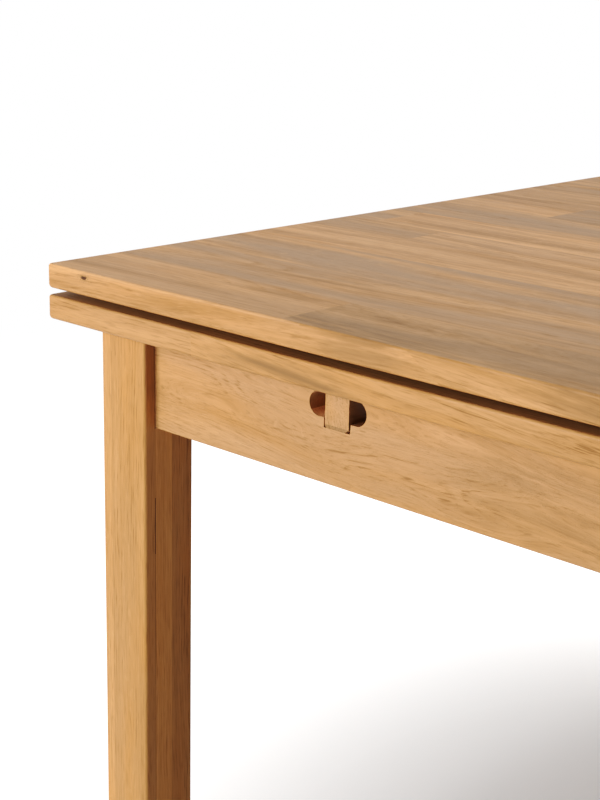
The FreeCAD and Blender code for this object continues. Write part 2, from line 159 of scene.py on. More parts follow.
# Knots: lengths are in sizes of the knot
knotLook = {
    "raggedScale": 1.9, "ragged": 1.7, "speckScale": 2.7, "speckLimits": (0.62, 0.70), "speckStrength": 0.8,
    "speckReach": (1.4, 3.4), "core": (0.65, 0.95), "rim": (0.8, 2.6), "pitFrom": 0.5,
}


def grainNoise(tree, place, name, **how):
    along, across, detail = grainNoises[name]
    return noiseOn(tree, place, (along, across, across), detail, **how)


def centred(tree, noise, amount):
    return vectorCalc(tree, "MULTIPLY", vectorCalc(tree, "SUBTRACT", noise, (0.5, 0.5, 0.5)), amount)


# The trunk bends slowly along its length, and its rings waver more finely
def swayed(tree, place, name, look):
    noise = grainNoise(tree, place, name, roughness=look["swayRoughness"], output="Color")
    return vectorCalc(tree, "ADD", place, centred(tree, noise, (0.0, look[name], look[name])))


# Growth rings of uneven width: a thin porous line that fades outwards
def ringLines(tree, radius, look):
    change = noiseOn(tree, joinVector(tree, X=radius), (look["ringChange"], 1.0, 1.0))
    wander = calc(tree, "MULTIPLY", change, look["ringWander"])
    turns = calc(tree, "MULTIPLY_ADD", radius, 1.0 / look["ringGap"], wander)
    inRing = calc(tree, "FRACT", turns)
    start = maskOf(tree, inRing, grainLimits["ringStart"])
    return calc(tree, "SUBTRACT", start, maskOf(tree, inRing, grainLimits["ringEnd"]))


# A ragged knot with specks round it, or only its brown cloud up to half strength, which on a leg is painted
# shade: its place comes scaled to its size, then its strength
def knotAndShadeMasks(tree):
    k = knotLook
    parts = splitVector(tree, attributeOf(tree, "knotAndShadePlace"))
    flat = joinVector(tree, X=parts["X"], Y=parts["Y"])
    plain = vectorCalc(tree, "LENGTH", flat)
    rags = noiseOn(tree, flat, (k["raggedScale"], k["raggedScale"], 1.0), 3.0)
    distance = calc(tree, "MULTIPLY_ADD", calc(tree, "SUBTRACT", rags, 0.5), k["ragged"], plain)
    dots = noiseOn(tree, flat, (k["speckScale"], k["speckScale"], 1.0), 1.0)
    specks = remap(tree, dots, *k["speckLimits"], 0.0, k["speckStrength"])
    specks = calc(tree, "MULTIPLY", specks, remap(tree, plain, *k["speckReach"], 1.0, 0.0))
    core = calc(tree, "MAXIMUM", remap(tree, distance, *k["core"], 1.0, 0.0), specks)
    rim = remap(tree, distance, *k["rim"], 1.0, 0.0)
    pit = remap(tree, parts["Z"], k["pitFrom"], 1.0, 0.0, 1.0, "LINEAR")
    cloud = remap(tree, parts["Z"], 0.0, k["pitFrom"], 0.0, 1.0, "LINEAR")
    return calc(tree, "MULTIPLY", core, pit), calc(tree, "MULTIPLY", rim, cloud)


# Streaks darken and lighten by as much
def streaks(tree, place, name):
    return remap(tree, grainNoise(tree, place, name), *grainLimits["streaks"], -1.0, 1.0, "LINEAR")


def share(tree, mask, amount):
    return calc(tree, "MULTIPLY", mask, amount)


def oakMaterial(name, changes):
    look = {**oakSettings, **changes}
    material, tree = emptyMaterial(name)
    bright, grey, figure = splitVector(tree, attributeOf(tree, "tone"))
    knotCore, knotAndShadeCloud = knotAndShadeMasks(tree)
    place = swayed(tree, attributeOf(tree, "grainPlace"), "bend", look)

    # Short dark ticks lie along the grain everywhere, and break up the rings
    ticks = maskOf(tree, grainNoise(tree, place, "ticks"), grainLimits["ticks"])
    wavy = swayed(tree, place, "waver", look)
    along, first, second = splitVector(tree, wavy)
    radius = vectorCalc(tree, "LENGTH", joinVector(tree, Y=first, Z=second))
    fadeNoise = grainNoise(tree, place, "ringFade")
    ringFade = remap(tree, fadeNoise, *grainLimits["ringFade"], look["ringLeast"], 1.0)
    broken = calc(tree, "MULTIPLY_ADD", ticks, look["ringBreak"], 1 - look["ringBreak"])
    rings = calc(tree, "MULTIPLY", ringLines(tree, radius, look), calc(tree, "MULTIPLY", ringFade, figure))
    rings = calc(tree, "MULTIPLY", rings, broken)
    gathered = calc(tree, "MULTIPLY_ADD", rings, look["ticksOnRings"], 1 - look["ticksOnRings"])
    onRings = calc(tree, "MULTIPLY", ticks, gathered)
    ticks = calc(tree, "MAXIMUM", onRings, calc(tree, "MULTIPLY", ticks, knotAndShadeCloud))

    # Streaks of three widths along the grain, and pores as thin pits that gather on the rings
    broad, middle, fine = (streaks(tree, place, width) for width in ("broad", "middle", "fine"))
    poreLimit = remap(tree, rings, 0.0, 1.0, *look["poreFrom"], "LINEAR")
    overLimit = calc(tree, "SUBTRACT", grainNoise(tree, place, "pores"), poreLimit)
    pores = maskOf(tree, overLimit, grainLimits["pores"])

    # Rays run outwards from the pith, as flecks or as fine marks where the cut crosses them
    angle = calc(tree, "ARCTAN2", second, first)
    rayPlace = joinVector(tree, X=along, Y=radius, Z=angle)
    rays = maskOf(tree, noiseOn(tree, rayPlace, rayStretch, 1.0), grainLimits["rays"])
    greyCloud = maskOf(tree, grainNoise(tree, place, "grey"), grainLimits["grey"])
    amberCloud = maskOf(tree, grainNoise(tree, place, "amber"), grainLimits["amber"])

    depth = look["brownShare"]
    for streak, amount in ((broad, "broadShare"), (middle, "middleShare"), (fine, "fineShare")):
        depth = calc(tree, "MULTIPLY_ADD", streak, look[amount] / 2, depth)
    cloud = calc(tree, "MULTIPLY_ADD", middle, look["cloudStreaks"], look["cloudShare"])
    colour = mixColour(tree, depth, look["pale"], look["brown"])
    for mask, amount, over in (
            (amberCloud, look["amberShare"], "amber"), (greyCloud, grey, "grey"),
            (rings, look["ringShare"], "ring"), (rays, look["rayShare"], "ray"),
            (ticks, look["tickShare"], "pore"), (pores, look["poreShare"], "pore"),
            (knotAndShadeCloud, cloud, "knotAndShadeCloud")):
        colour = mixColour(tree, share(tree, mask, amount), colour, look[over])
    colour = mixColour(tree, knotCore, colour, look["knot"])
    colour = vectorCalc(tree, "MULTIPLY", colour, look["tint"])
    colour = addNode(tree, "ShaderNodeVectorMath", {0: colour, "Scale": bright}, operation="SCALE").outputs[0]

    texture = calc(tree, "MULTIPLY_ADD", fine, look["fineRoughness"], rings)
    roughness = remap(tree, texture, -look["fineRoughness"], 1.0, *look["roughness"], "LINEAR")
    relief = look["relief"]
    height = calc(tree, "MULTIPLY_ADD", ticks, relief["ticks"], 1.0)
    height = calc(tree, "MULTIPLY_ADD", fine, relief["fine"], height)
    pits = calc(tree, "MULTIPLY_ADD", knotCore, relief["knot"], pores)
    closeMaterial(tree, {"Base Color": colour, "Roughness": roughness, "Specular IOR Level": look["gloss"]},
                  calc(tree, "SUBTRACT", height, pits), look["poreDepth"], look["bumpStrength"])
    return material


oak = {
    "oak_top": oakMaterial("oiledOakTop", {
        "pale": (0.590, 0.338, 0.152), "brown": (0.335, 0.170, 0.063),
        "tint": (1.00, 0.95, 0.92), "broadShare": 1.40, "middleShare": 0.68, "fineShare": 0.36,
        "ringShare": 0.48, "tickShare": 0.42}),
    "oak_leaf": oakMaterial("oiledOakLeaf", {"tint": (0.99, 0.93, 0.88)}),
    "oak_leg": oakMaterial("oiledOakLeg", {"tint": (1.0, 0.93, 0.83), "middleShare": 0.40}),
    "oak_apron": oakMaterial("oiledOakApron", {"tint": (1.0, 0.97, 0.98), "bend": 0.075}),
    "oak_runner": oakMaterial("planedOakRunner", {"tint": (1.0, 0.99, 1.04)}),
    "oak_inner": oakMaterial("planedOakInner", {"roughness": (0.55, 0.7)}),
}
print("oak finishes ready")


bodyOf = {node: body for body, nodes in frame["record"]["behaviour"]["bodies"].items() for node in nodes}
# Limits in metres, then angles, then shares of a normal that count as facing a way or leaning to it
meshRules = {
    "mergeWithin": 2e-6, "cutWithin": 1e-7, "slack": 0.01 * mm,
    "flatWithin": math.radians(0.5), "sharpFrom": math.radians(32), "facing": 0.9, "leaning": 0.5,
}


# Every wooden piece starts from its node's own shape
def copyOfNode(nodeName):
    bm = bmesh.new()
    bm.from_mesh(frame["nodes"][nodeName].data)
    bm.loops.layers.float_vector.new("grainPlace")
    bm.loops.layers.float_vector.new("knotAndShadePlace")
    bm.faces.layers.float_vector.new("tone")
    bmesh.ops.remove_doubles(bm, verts=bm.verts[:], dist=meshRules["mergeWithin"])
    return bm


def pieceName(nodeName):
    words = nodeName.split("_")
    return words[0] + "".join(w.title() for w in words[1:])


def joinFlats(bm):
    bmesh.ops.dissolve_limit(bm, angle_limit=meshRules["flatWithin"], verts=bm.verts[:], edges=bm.edges[:])


def facesOut(face, way):
    return face.normal.y * way > meshRules["facing"]


def sharpEdges(bm):
    return [e for e in bm.edges if e.is_manifold and e.calc_face_angle(0.0) > meshRules["sharpFrom"]]


def roundEdges(bm, edges, width, segments):
    bmesh.ops.bevel(bm, geom=edges, offset=width, offset_type="OFFSET", segments=segments, profile=0.5,
                    affect="EDGES", clamp_overlap=True, material=-1)


def easeArrises(bm, width, crisp):
    joinFlats(bm)
    roundEdges(bm, [e for e in sharpEdges(bm) if not crisp(e)], width, segments=2)


def cutAcross(bm, faces, point, normal):
    geom = list({v for f in faces for v in f.verts}) + list({e for f in faces for e in f.edges}) + list(faces)
    bmesh.ops.bisect_plane(bm, geom=geom, dist=meshRules["cutWithin"], plane_co=point, plane_no=normal)


def facesBetween(bm, axis, start, way, near, far, faces=None):
    slack = meshRules["slack"]    # takes in the faces that lie on the outer limits
    chosen = bm.faces if faces is None else faces
    return [f for f in chosen if near - slack < way * (f.calc_center_median()[axis] - start) < far + slack]


# How timbers differ: place of the pith across the grain, its lean, and a tone of brightness, grey and figure
timberRange = {
    "flatSawn": 0.6, "flatPith": ((-0.03, 0.03), (0.03, 0.09)), "quarterPith": ((0.07, 0.16), (-0.05, 0.05)),
    "lean": ((-0.03, 0.03), (-0.05, 0.05)), "start": (0, 40),
    "bright": (-0.10, 0.07), "grey": (0.2, 1.0), "figure": (0.7, 1.1),
}


def pickTimber(spread=1.0):
    t = timberRange
    side = dice.choice((-1, 1))
    if dice.random() < t["flatSawn"]:
        aside, below = t["flatPith"]
        pith = (dice.uniform(*aside), side * dice.uniform(*below))
    else:
        aside, below = t["quarterPith"]
        pith = (side * dice.uniform(*aside), dice.uniform(*below))
    lean = tuple(dice.uniform(*limits) for limits in t["lean"])
    start = dice.uniform(*t["start"])
    bright = 1 + spread * dice.uniform(*t["bright"])
    return {"pith": pith, "lean": lean, "start": start,
            "tone": (bright, dice.uniform(*t["grey"]), dice.uniform(*t["figure"]))}


grainAxes = {"x": (0, 1, 2), "y": (1, 0, 2), "z": (2, 0, 1)}


def layGrain(bm, faces, axis, centre, timber):
    places = bm.loops.layers.float_vector["grainPlace"]
    knotAndShadePlaces = bm.loops.layers.float_vector["knotAndShadePlace"]
    tones = bm.faces.layers.float_vector["tone"]
    along, first, second = grainAxes[axis]
    knot = timber.get("knot")
    for face in faces:
        # Faces on the upper arris may take a lighter tone: a painted highlight
        onArrisHighlight = "arrisHighlightTone" in timber and face.normal.z > timber["arrisFrom"]
        face[tones] = Vector(timber["arrisHighlightTone" if onArrisHighlight else "tone"])
        for loop in face.loops:
            offset = loop.vert.co - centre
            loop[places] = Vector((
                offset[along] + timber["start"],
                offset[first] - timber["pith"][0] - timber["lean"][0] * offset[along],
                offset[second] - timber["pith"][1] - timber["lean"][1] * offset[along]))
            loop[knotAndShadePlaces] = Vector()
            if knot:
                fromKnot = loop.vert.co - Vector(knot["place"])
                length, width = knot["size"]
                loop[knotAndShadePlaces] = Vector((
                    fromKnot[along] / length, fromKnot[knot["across"]] / width, knot["strength"]))


def meshObject(bm, name, material):
    mesh = bpy.data.meshes.new(name)
    bm.to_mesh(mesh)
    bm.free()
    mesh.materials.append(material)
    made = bpy.data.objects.new(name, mesh)
    scene.collection.objects.link(made)
    return made


def finishPiece(bm, name, nodeName, material):
    for edge in bm.edges:
        edge.smooth = edge.calc_face_angle(0.0) < meshRules["sharpFrom"]
    for face in bm.faces:
        face.smooth = True
    piece = meshObject(bm, name, material)
    shading = piece.modifiers.new("evenShading", "WEIGHTED_NORMAL")
    shading.keep_sharp = True
    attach(piece, bodyOf[nodeName])
    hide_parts(nodeName)
    return piece


# A knot's place in metres, its sizes along and across the grain, the axis across, and its strength; a weak
# one is only a cloud, used on a leg as painted shade
def knotAndShadeAt(place, size, across, strength):
    return {"place": place, "size": size, "across": across, "strength": strength}


# Boards glued up from staves: rows across the table, each row with butt joints
topBoard = {
    "rows": (84, 82, 90, 80, 65, 78, 80, 82, 86, 80, 84, 78, 82, 76, 73),
    "joints": ((285, 700), (520,), (610,), (400, 760), (130, 560), (40, 480), (640,), (145, 590), (330, 720),
               (470,), (210, 650), (380,), (560,), (120, 690), (430,)),
    "chosen": {
        (0, 0): {"tone": (0.99, 0.4, 0.6), "pith": (0.05, -0.06), "lean": (0.02, 0.03)},
        (0, 1): {
            "tone": (0.80, 0.6, 0.4), "pith": (0.02, -0.05), "lean": (-0.02, -0.11),
            "knot": knotAndShadeAt((-0.105, -0.584, 0.75), (0.050, 0.009), 1, 0.45)},
        (1, 0): {"tone": (0.95, 0.8, 0.7)}, (2, 0): {"tone": (0.99, 1.0, 0.7)},
        (3, 0): {"tone": (1.06, 0.2, 0.7)},
        (4, 0): {"tone": (0.96, 0.7, 0.6)},
        (4, 1): {
            "tone": (1.03, 0.3, 1.1), "pith": (0.0, -0.03),
            "knot": knotAndShadeAt((-0.235, -0.232, 0.75), (0.012, 0.005), 1, 0.2)},
        (5, 0): {"tone": (0.95, 0.8, 0.7)}, (5, 1): {"tone": (1.07, 0.2, 0.7)},
        (6, 0): {"tone": (0.93, 0.9, 0.7)},
        (7, 0): {"tone": (1.04, 0.3, 0.6)}, (7, 1): {"tone": (0.90, 0.8, 0.6)},
    },
    "undersideShade": 0.5,
    # Its front edge: one run of grain goes on past the end joint, darkens and changes along a slant
    "edge": (
        # The first zone's upper arris carries a painted highlight
        {"until": 305, "slant": 0.0, "tone": (1.03, 0.1, 0.9), "arrisHighlightTone": (1.24, 0.5, 0.5),
         "arrisFrom": 0.3, "knot": knotAndShadeAt((-0.3988, -0.6, 0.7445), (0.0047, 0.0017), 2, 1.0)},
        {"until": 425, "slant": 1.6, "tone": (1.03, 0.1, 0.9),
         "knot": knotAndShadeAt((-0.084, -0.6, 0.737), (0.022, 0.009), 2, 0.3)},
        {"until": 700, "slant": 0.0, "tone": (0.95, 0.0, 1.3), "pith": (0.02, -0.05), "lean": (-0.02, -0.11),
         "knot": knotAndShadeAt((0.150, -0.6, 0.740), (0.040, 0.014), 2, 0.35)},
    ),
}
leafBoard = {
    "rows": (80, 84, 78, 82, 75), "joints": ((186, 720), (420,), (250, 640), (520,), (160, 600)),
    "chosen": {
        (0, 0): {"tone": (0.97, 0.2, 0.8), "pith": (0.12, 0.02), "lean": (0.0, -0.01)},
        (0, 1): {
            "tone": (0.97, 0.3, 1.3), "pith": (0.07, 0.05), "lean": (0.01, -0.06),
            "knot": knotAndShadeAt((-0.168, -0.6, 0.7055), (0.042, 0.0062), 2, 0.42)},
    },
}
bearerBoard = {
    "rows": (78, 82, 80, 84, 76), "joints": ((380,), (600,), (240, 700), (510,), (330,)), "chosen": {}}


def frontEdge(bm):
    return [f for f in bm.faces if f.normal.y < -meshRules["leaning"]]


def layEdge(bm, corner, middle, timber, zones):
    for zone in reversed(zones):
        end = Vector((corner.x + zone["until"] * mm, corner.y, middle.z))
        facing = Vector((1, 0, zone["slant"]))
        cutAcross(bm, frontEdge(bm), end, facing)
        before = [f for f in frontEdge(bm) if (f.calc_center_median() - end).dot(facing) < 0]
        layGrain(bm, before, "x", middle, {**timber, **zone})


# Painted shade: the underside is darker than the rest of its timber, which darkens the shadow gap under the
# top
def shadeUnderside(bm, shade):
    tones = bm.faces.layers.float_vector["tone"]
    for face in bm.faces:
        if face.normal.z < -meshRules["facing"]:
            face[tones] = face[tones] * Vector((shade, 1, 1))


def staveBoard(name, nodeName, slotName, board, turned=False):
    bm = copyOfNode(nodeName)
    low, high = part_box(nodeName)
    way = -1 if turned else 1    # the back leaf is the front one, turned half round
    corner = Vector((high.x, high.y, 0)) if turned else Vector((low.x, low.y, 0))
    rowLines = [0]
    for width in board["rows"]:
        rowLines.append(rowLines[-1] + width * mm)
    for line in rowLines[1:-1]:
        cutAcross(bm, bm.faces[:], corner + Vector((0, way * line, 0)), Vector((0, 1, 0)))
    for row, joints in enumerate(board["joints"]):
        near, far = rowLines[row], rowLines[row + 1]
        xLines = [0] + [j * mm for j in joints] + [high.x - low.x]
        for x in xLines[1:-1]:
            faces = facesBetween(bm, 1, corner.y, way, near, far)
            cutAcross(bm, faces, corner + Vector((way * x, 0, 0)), Vector((1, 0, 0)))
        faces = facesBetween(bm, 1, corner.y, way, near, far)
        for number, (left, right) in enumerate(zip(xLines, xLines[1:])):
            stave = facesBetween(bm, 0, corner.x, way, left, right, faces)
            timber = {**pickTimber(), **board["chosen"].get((row, number), {})}
            middle = corner + Vector((way * (left + right) / 2, way * (near + far) / 2, (low.z + high.z) / 2))
            layGrain(bm, stave, "x", middle, timber)
            if (row, number) == (0, 0):
                cornerStave = (middle, timber)
    if "edge" in board:
        layEdge(bm, corner, *cornerStave, board["edge"])
    if "undersideShade" in board:
        shadeUnderside(bm, board["undersideShade"])
    finishPiece(bm, name, nodeName, oak[slotName])


staveBoard("topBoard", "table_top", "oak_top", topBoard)
staveBoard("leafBoardFront", "leaf_front", "oak_leaf", leafBoard)
staveBoard("leafBoardBack", "leaf_back", "oak_leaf", leafBoard, turned=True)
staveBoard("bearerBoard", "centre_bearer", "oak_inner", bearerBoard)
print("boards glued up")

# Legs are glued up from three layers, with a glue line behind the front one, which has a pale strip
legPost = {
    "layers": (12, 20, 26), "glueLine": 0.8, "paleStrip": 12.5, "stripTone": (1.12, 0.30, 0.6), "spread": 0.4,
    "timbers": (
        {"tone": (0.98, 0.3, 0.9), "pith": (0.10, 0.03), "lean": (0.0, 0.004),
         # This layer's knot cloud is painted shade on the leg's side face where the apron meets it
         "knot": knotAndShadeAt((-0.3562, -0.56, 0.690), (0.034, 0.0012), 0, 0.45)},
        {"tone": (1.13, 0.0, 0.9), "pith": (0.06, 0.08), "lean": (0.004, 0.0)},
        {"tone": (0.86, 0.0, 1.3), "pith": (-0.05, 0.09), "lean": (0.006, 0.003),
         "knot": knotAndShadeAt((-0.357, -0.5425, 0.562), (0.016, 0.0018), 1, 0.6)}),
    "glueGrain": (0.0, 0.5),
    # The glue line's brightness down from each height: it is a crack in some places and tight in others
    "glueRuns": ((700, 0.75), (682, 0.40), (609, 0.90), (544, 0.12), (490, 0.66), (360, 0.85), (210, 0.50)),
}


def layGlue(bm, middle, face, frontWay, near, far, timber):
    for height, bright in legPost["glueRuns"]:
        cutAcross(bm, facesBetween(bm, 1, face, frontWay, near, far), Vector((0, 0, height * mm)),
                  Vector((0, 0, 1)))
        line = facesBetween(bm, 1, face, frontWay, near, far)
        below = [f for f in line if f.calc_center_median().z < height * mm]
        layGrain(bm, below, "z", middle, {**timber, "tone": (bright, *legPost["glueGrain"])})


def legPiece(name, nodeName, frontWay):
    bm = copyOfNode(nodeName)
    low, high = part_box(nodeName)
    face = low.y if frontWay > 0 else high.y
    side = low.x if frontWay > 0 else high.x
    lines = [0]
    for thickness in legPost["layers"]:
        lines.append(lines[-1] + thickness * mm)
    glue = (lines[1] - legPost["glueLine"] * mm / 2, lines[1] + legPost["glueLine"] * mm / 2)
    for line in (*glue, lines[2]):
        cutAcross(bm, bm.faces[:], Vector((0, face + frontWay * line, 0)), Vector((0, 1, 0)))
    strip = legPost["paleStrip"] * mm
    cutAcross(bm, facesBetween(bm, 1, face, frontWay, 0, glue[0]), Vector((side + frontWay * strip, 0, 0)),
              Vector((1, 0, 0)))
    edges = [0, *glue, lines[2], lines[3]]
    timbers = [legPost["timbers"][0], {}, *legPost["timbers"][1:]]
    for number, (near, far, chosen) in enumerate(zip(edges, edges[1:], timbers)):
        layer = facesBetween(bm, 1, face, frontWay, near, far)
        middle = Vector(((low.x + high.x) / 2, face + frontWay * (near + far) / 2, (low.z + high.z) / 2))
        timber = {**pickTimber(legPost["spread"]), **chosen}
        layGrain(bm, layer, "z", middle, timber)
        if number == 0:
            layGrain(bm, facesBetween(bm, 0, side, frontWay, 0, strip, layer), "z", middle,
                     {**timber, "tone": legPost["stripTone"]})
        if number == 1:
            layGlue(bm, middle, face, frontWay, near, far, timber)
    finishPiece(bm, name, nodeName, oak["oak_leg"])


for end, frontWay in (("front", 1), ("back", -1)):
    for side in ("left", "right"):
        legPiece("leg" + end.title() + side.title() + "Post", "leg_" + end + "_" + side, frontWay)
print("legs glued up")

# Pieces cut from one timber each
bothEnds = ("front", "back")
corners = [end + "_" + side for end in bothEnds for side in ("left", "right")]
solidPieces = {
    "oak_apron": {"ease": 0.5, "tone": (0.99, 0.4, 0.9), "pieces": {
        "end_apron_front": "x", "end_apron_back": "x", "side_apron_left": "y", "side_apron_right": "y"}},
    "oak_runner": {"ease": 0.4, "tone": (0.96, 0.3, 0.8), "pieces": {"runner_" + c: "y" for c in corners}},
    "oak_inner": {"ease": 0.4, "tone": (1.0, 0.4, 0.9), "pieces": {
        "centre_rail": "x", "packing_strip_front": "x", "packing_strip_back": "x",
        **{"corner_block_" + c: "x" for c in corners}}},
}
chosenTimbers = {"end_apron_front": {
    "pith": (0.045, 0.01), "lean": (0.03, -0.055),
    "knot": knotAndShadeAt((0.062, -0.556, 0.647), (0.050, 0.020), 2, 0.22)}}
chosenTimbers.update({"runner_" + c: {"pith": (0.22, 0.03), "lean": (0.0, 0.0)} for c in corners})
# The runner's right-hand side near its end, seen from outside, takes painted shade
runnerEnd = {"round": 1.6, "tipDepth": 1.0, "bottomBandHeight": 3.0, "bottomBandTone": (0.68, 0.35, 0.9),
             "lipHeight": 1.0, "rubbed": 0.4, "lip": 0.15, "wearDepth": 5.0, "slack": 0.9,
             "chip": 3.0, "chipWidth": 4.4, "chipDepth": 2.5, "chipFrom": 0.02, "within": 0.1,
             "shadedLength": 45.0, "shadedSideTone": (0.55, 0.3, 0.9)}
fingerSlot = {"reach": 28.0, "low": 663.0, "high": 690.0, "litTone": (2.0, 2.0, 0.6),
              "shadeTone": (0.7, 0.3, 0.8), "floorLow": 650.0, "floorHigh": 660.0}


# The outer end has rounded uprights, fibres rubbed down over its lower arris and a chip at its right corner
def roundRunner(bm, way):
    r = runnerEnd
    joinFlats(bm)
    uprights = []
    for edge in sharpEdges(bm):
        first, second = (v.co for v in edge.verts)
        if any(facesOut(f, way) for f in edge.link_faces) and abs(first.x - second.x) < r["within"] * mm:
            uprights.append(edge)
    roundEdges(bm, uprights, r["round"] * mm, segments=4)
    tip = max(v.co.y * way for v in bm.verts)
    cutAcross(bm, bm.faces[:], Vector((0, way * (tip - r["wearDepth"] * mm), 0)), Vector((0, 1, 0)))
    outer = [v for v in bm.verts if tip - v.co.y * way < 2 * r["round"] * mm]
    lowest = min(v.co.z for v in outer)
    right = max(-way * v.co.x for v in outer)
    for vert in outer:
        if vert.co.z < lowest + r["lipHeight"] * mm:
            vert.co.y = way * (tip - r["lip"] * mm)
            vert.co.z -= r["rubbed"] * mm
        if -way * vert.co.x > right - r["chipWidth"] * mm:
            vert.co.x += way * r["slack"] * mm
    corner = Vector((way * (r["chipWidth"] * mm - right), 0, lowest))
    facing = Vector((-way * r["chip"], 0, -r["chipWidth"])).normalized()
    reach = [v for v in bm.verts if tip - v.co.y * way < (r["wearDepth"] + r["within"]) * mm]
    cutAcross(bm, [f for f in bm.faces if set(f.verts) <= set(reach)], corner, facing)
    for vert in bm.verts:
        atTip = tip - vert.co.y * way < r["chipDepth"] * mm
        if atTip and (vert.co - corner).dot(facing) > r["chipFrom"] * mm:
            vert.co.y -= way * r["chipDepth"] * mm


# Edges left crisp where the runner's end meets the floor of its notch
def atNotchFloor(way):
    def test(edge):
        level = all(fingerSlot["floorLow"] * mm < v.co.z < fingerSlot["floorHigh"] * mm for v in edge.verts)
        return level and any(facesOut(f, way) for f in edge.link_faces)
    return test


def toneRunnerBandAndShade(bm, way):
    r = runnerEnd
    tones = bm.faces.layers.float_vector["tone"]
    tip = max(v.co.y * way for v in bm.verts)
    atTip = [f for f in bm.faces if tip - f.calc_center_median().y * way < r["tipDepth"] * mm]
    ends = [f for f in atTip if facesOut(f, way)]
    # The end face is darker and greyer along its bottom
    line = min(v.co.z for f in ends for v in f.verts) + r["bottomBandHeight"] * mm
    # Painted shade: over this length from the end, the right-hand side seen from outside is darker, as it
    # lies in shade inside the finger slot
    shadedFrom = tip - r["shadedLength"] * mm
    cutAcross(bm, ends, Vector((0, 0, line)), Vector((0, 0, 1)))
    sides = [f for f in bm.faces if abs(f.normal.x) > meshRules["facing"]]
    cutAcross(bm, sides, Vector((0, shadedFrom * way, 0)), Vector((0, 1, 0)))
    for face in bm.faces:
        middle = face.calc_center_median()
        if facesOut(face, way) and middle.z < line:
            face[tones] = Vector(r["bottomBandTone"])
        # Painted shade on the right-hand side, seen from outside
        if face.normal.x * way < -meshRules["facing"] and middle.y * way > shadedFrom:
            face[tones] = Vector(r["shadedSideTone"])


# Painted light and shade on the slot's walls: lighter to the left of each runner, darker to the right of it
def toneSlots(bm, end, way):
    tones = bm.faces.layers.float_vector["tone"]
    for low, high in (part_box("runner_" + end + "_" + side) for side in ("left", "right")):
        for face in bm.faces:
            middle = face.calc_center_median()
            beside = -way * (middle.x - (low.x + high.x) / 2)
            inSlot = fingerSlot["low"] * mm < middle.z < fingerSlot["high"] * mm
            wall = abs(face.normal.y) < meshRules["leaning"]
            if inSlot and wall and abs(beside) < fingerSlot["reach"] * mm:
                face[tones] = Vector(fingerSlot["litTone" if beside < 0 else "shadeTone"])


for slotName, group in solidPieces.items():
    for nodeName, axis in group["pieces"].items():
        bm = copyOfNode(nodeName)
        outward = -1 if "front" in nodeName else 1
        if slotName == "oak_runner":
            roundRunner(bm, outward)
        easeArrises(bm, group["ease"] * mm, atNotchFloor(outward))
        low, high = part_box(nodeName)
        timber = {**pickTimber(), "tone": group["tone"], **chosenTimbers.get(nodeName, {})}
        layGrain(bm, bm.faces, axis, (low + high) / 2, timber)
        if slotName == "oak_runner":
            toneRunnerBandAndShade(bm, outward)
        if nodeName.startswith("end_apron"):
            toneSlots(bm, nodeName.split("_")[-1], outward)
        finishPiece(bm, pieceName(nodeName) + "Wood", nodeName, oak[slotName])
print("aprons, runners and inner pieces cut")


# Finishes of the small parts: stretches are to the metre, relief in metres
beechLook = {
    "pale": (0.50, 0.30, 0.16), "dark": (0.40, 0.22, 0.11), "fleck": (0.28, 0.14, 0.07), "fleckShare": 0.4,
    "fleckStretch": (700.0, 700.0, 260.0), "fleckLimits": (0.55, 0.7), "grainStretch": (260.0, 260.0, 40.0),
    "roughness": (0.55, 0.7), "relief": 0.00005}
feltLook = {
    "dark": (0.07, 0.058, 0.046), "pale": (0.16, 0.135, 0.108), "blotch": (0.20, 0.17, 0.14),
    "blotchShare": 0.3, "blotchScale": 90.0, "fuzzScale": 2600.0, "fuzzRoughness": 0.7,
    "roughness": 0.95, "sheen": 0.4, "sheenRoughness": 0.5, "relief": 0.0004}
zincLook = {
    "dark": (0.46, 0.46, 0.45), "pale": (0.62, 0.61, 0.57), "scale": 420.0, "detail": 3.0,
    "metallic": 1.0, "roughness": (0.26, 0.44), "relief": 0.00003}
glideLook = {
    "dark": (0.020, 0.017, 0.015), "pale": (0.034, 0.030, 0.027), "scale": 1800.0, "detail": 2.0,
    "metallic": 0.0, "roughness": (0.42, 0.6), "relief": 0.00004}
# The middle of a noise, which the roughness follows
glossLimits = (0.2, 0.8)


def plainPlace(tree):
    return addNode(tree, "ShaderNodeTexCoord").outputs["Object"]


def evenNoise(tree, place, scale, detail, roughness=0.5):
    return noiseOn(tree, place, (scale, scale, scale), detail, roughness)


def unevenGloss(tree, noise, limits):
    return remap(tree, noise, *glossLimits, *limits, "LINEAR")


def beechMaterial():
    material, tree = emptyMaterial("turnedBeech")
    place = plainPlace(tree)
    fleck = maskOf(tree, noiseOn(tree, place, beechLook["fleckStretch"], 1.0), beechLook["fleckLimits"])
    grain = noiseOn(tree, place, beechLook["grainStretch"], 3.0)
    colour = mixColour(tree, grain, beechLook["pale"], beechLook["dark"])
    colour = mixColour(tree, share(tree, fleck, beechLook["fleckShare"]), colour, beechLook["fleck"])
    roughness = unevenGloss(tree, grain, beechLook["roughness"])
    closeMaterial(tree, {"Base Color": colour, "Roughness": roughness}, grain, beechLook["relief"])
    return material


def feltMaterial():
    material, tree = emptyMaterial("pressedFelt")
    place = plainPlace(tree)
    fuzz = evenNoise(tree, place, feltLook["fuzzScale"], 4.0, feltLook["fuzzRoughness"])
    blotch = evenNoise(tree, place, feltLook["blotchScale"], 3.0)
    colour = mixColour(tree, fuzz, feltLook["dark"], feltLook["pale"])
    colour = mixColour(tree, share(tree, blotch, feltLook["blotchShare"]), colour, feltLook["blotch"])
    cloth = {"Base Color": colour, "Roughness": feltLook["roughness"], "Sheen Weight": feltLook["sheen"],
             "Sheen Roughness": feltLook["sheenRoughness"]}
    closeMaterial(tree, cloth, fuzz, feltLook["relief"])
    return material


